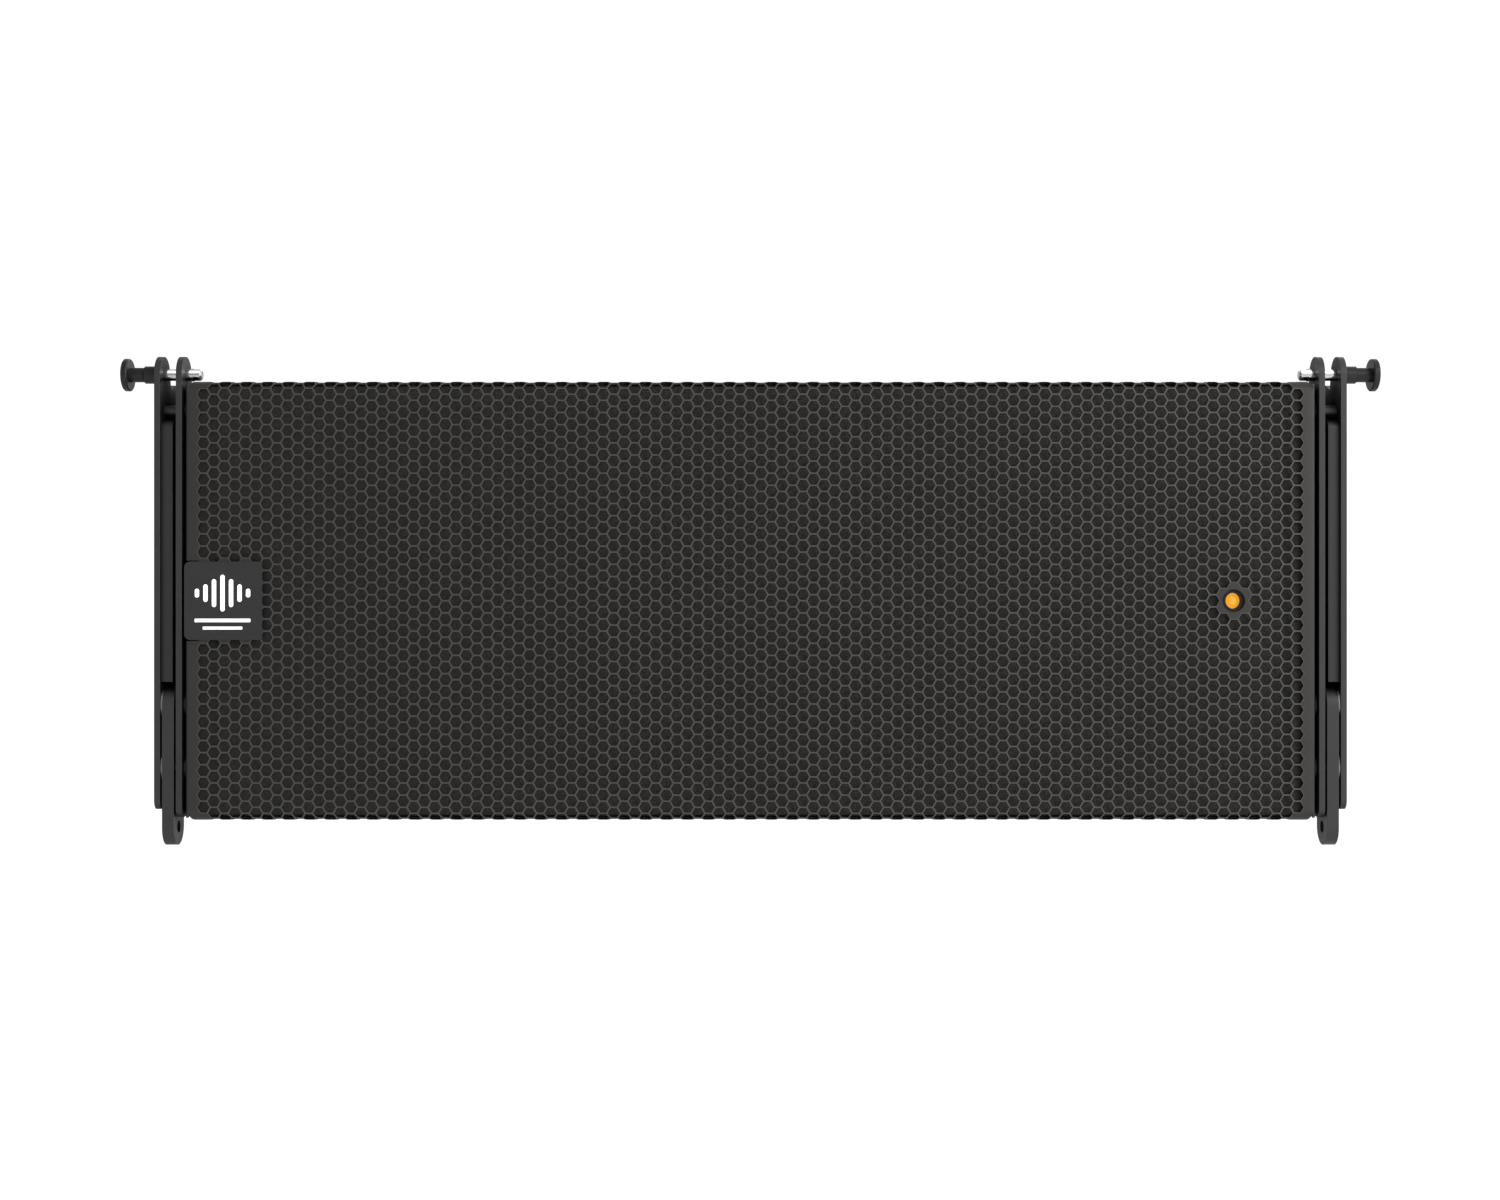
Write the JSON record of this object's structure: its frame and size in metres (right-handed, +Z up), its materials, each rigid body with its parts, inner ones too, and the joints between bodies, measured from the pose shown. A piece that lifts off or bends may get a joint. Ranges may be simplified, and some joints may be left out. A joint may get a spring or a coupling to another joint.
{
  "type": "line array speaker",
  "caption": "Compact line array loudspeaker: wedge cabinet behind a hex-perforated steel grille, with side rigging plates, hanging links, swinging rear arms and ball-lock pins.",
  "frame": {"origin": "middle of the whole box", "axes": "X to the right seen from the front, the grille faces -Y, Z up"},
  "size_m": [0.86, 0.45, 0.335],
  "materials": {
    "cabinet_paint": "textured black polyurea coat over birch plywood",
    "bare_ply": "unpainted birch plywood",
    "grille_paint": "black powder coat",
    "foam": "open-cell grey acoustic foam",
    "rigging_paint": "satin black powder coat",
    "badge_paint": "satin black with a pale mark",
    "amber_lens": "clear amber",
    "black_plastic": "moulded black",
    "cast_alloy": "die-cast, painted black",
    "motor_steel": "zinc-plated pot",
    "cone_paper": "coated paper",
    "surround_rubber": "doped cloth and rubber",
    "dome_metal": "thin formed metal",
    "board_green": "circuit board",
    "copper": "enamelled copper wire",
    "cable_black": "cable sheath",
    "lining": "pale wadding",
    "plate_paint": "satin black",
    "socket_plastic": "glass-filled black",
    "black_screws": "black oxide",
    "zinc_washers": "dark zinc",
    "pin_steel": "polished stainless",
    "knob_black": "black anodised",
    "button_metal": "turned steel",
    "latch_steel": "hardened balls and spring wire"
  },
  "bodies": {
    "cabinet": {"top_panel": "cabinet_paint", "bottom_panel": "cabinet_paint", "left_side_panel": "cabinet_paint", "right_side_panel": "cabinet_paint", "rear_panel": "cabinet_paint", "front_baffle": "bare_ply", "chamber_dividers": "bare_ply", "grille": "grille_paint", "grille_foam": "foam", "left_outer_plate": "rigging_paint", "right_outer_plate": "rigging_paint", "left_inner_plate": "rigging_paint", "right_inner_plate": "rigging_paint", "spacer_bars": "rigging_paint", "front_links": "rigging_paint", "badge_plate": "badge_paint", "lamp_lens": "amber_lens", "lamp_housing": "black_plastic", "horn_flare": "black_plastic", "throat_adapters": "black_plastic", "port_tubes": "black_plastic", "handle_cups": "black_plastic", "woofer_baskets": "cast_alloy", "driver_bodies": "cast_alloy", "woofer_motors": "motor_steel", "left_woofer_suspension": "surround_rubber", "right_woofer_suspension": "surround_rubber", "crossover_board": "board_green", "crossover_parts": "copper", "wiring_loom": "cable_black", "damping_lining": "lining", "connector_plate": "plate_paint", "speaker_sockets": "socket_plastic", "grille_screws": "black_screws", "woofer_screws": "black_screws", "connector_screws": "black_screws", "side_screws": "black_screws", "rigging_bolts": "black_screws", "rigging_washers": "zinc_washers"},
    "left_front_pin": {"left_front_pin_shank": "pin_steel", "left_front_pin_knob": "knob_black", "left_front_pin_ball_latch": "latch_steel"},
    "left_front_button": {"left_front_pin_button": "button_metal"},
    "right_front_pin": {"right_front_pin_shank": "pin_steel", "right_front_pin_knob": "knob_black", "right_front_pin_ball_latch": "latch_steel"},
    "right_front_button": {"right_front_pin_button": "button_metal"},
    "left_rear_pin": {"left_rear_pin_shank": "pin_steel", "left_rear_pin_knob": "knob_black", "left_rear_pin_ball_latch": "latch_steel"},
    "left_rear_button": {"left_rear_pin_button": "button_metal"},
    "right_rear_pin": {"right_rear_pin_shank": "pin_steel", "right_rear_pin_knob": "knob_black", "right_rear_pin_ball_latch": "latch_steel"},
    "right_rear_button": {"right_rear_pin_button": "button_metal"},
    "left_arm": {"left_rear_arm": "rigging_paint"},
    "left_cone": {"left_woofer_cone": "cone_paper"},
    "right_arm": {"right_rear_arm": "rigging_paint"},
    "right_cone": {"right_woofer_cone": "cone_paper"},
    "diaphragms": {"driver_diaphragms": "dome_metal"}
  },
  "joints": [
    {"name": "left_front_pin_pull", "type": "slide", "parent": "cabinet", "child": "left_front_pin", "axis": [-1, 0, 0], "range_m": [0, 0.045], "deforming": ["left_front_pin_ball_latch"]},
    {"name": "left_front_button_press", "type": "slide", "parent": "left_front_pin", "child": "left_front_button", "axis": [1, 0, 0], "range_m": [0, 0.003], "deforming": ["left_front_pin_ball_latch"]},
    {"name": "right_front_pin_pull", "type": "slide", "parent": "cabinet", "child": "right_front_pin", "axis": [1, 0, 0], "range_m": [0, 0.045], "deforming": ["right_front_pin_ball_latch"]},
    {"name": "right_front_button_press", "type": "slide", "parent": "right_front_pin", "child": "right_front_button", "axis": [-1, 0, 0], "range_m": [0, 0.003], "deforming": ["right_front_pin_ball_latch"]},
    {"name": "left_rear_pin_pull", "type": "slide", "parent": "cabinet", "child": "left_rear_pin", "axis": [-1, 0, 0], "range_m": [0, 0.04], "deforming": ["left_rear_pin_ball_latch"]},
    {"name": "left_rear_button_press", "type": "slide", "parent": "left_rear_pin", "child": "left_rear_button", "axis": [1, 0, 0], "range_m": [0, 0.003], "deforming": ["left_rear_pin_ball_latch"]},
    {"name": "right_rear_pin_pull", "type": "slide", "parent": "cabinet", "child": "right_rear_pin", "axis": [1, 0, 0], "range_m": [0, 0.04], "deforming": ["right_rear_pin_ball_latch"]},
    {"name": "right_rear_button_press", "type": "slide", "parent": "right_rear_pin", "child": "right_rear_button", "axis": [-1, 0, 0], "range_m": [0, 0.003], "deforming": ["right_rear_pin_ball_latch"]},
    {"name": "left_arm_swing", "type": "hinge", "parent": "cabinet", "child": "left_arm", "pos_m": [-0.3966, 0.19, -0.08], "axis": [1, 0, 0], "range_deg": [0, 135]},
    {"name": "left_cone_travel", "type": "slide", "parent": "cabinet", "child": "left_cone", "axis": [0, -1, 0], "range_m": [-0.006, 0.006], "deforming": ["left_woofer_suspension"]},
    {"name": "right_arm_swing", "type": "hinge", "parent": "cabinet", "child": "right_arm", "pos_m": [0.3966, 0.19, -0.08], "axis": [1, 0, 0], "range_deg": [0, 135]},
    {"name": "right_cone_travel", "type": "slide", "parent": "cabinet", "child": "right_cone", "axis": [0, -1, 0], "range_m": [-0.006, 0.006], "deforming": ["right_woofer_suspension"]},
    {"name": "diaphragm_travel", "type": "slide", "parent": "cabinet", "child": "diaphragms", "axis": [0, -1, 0], "range_m": [-0.0003, 0.0003]}
  ]
}
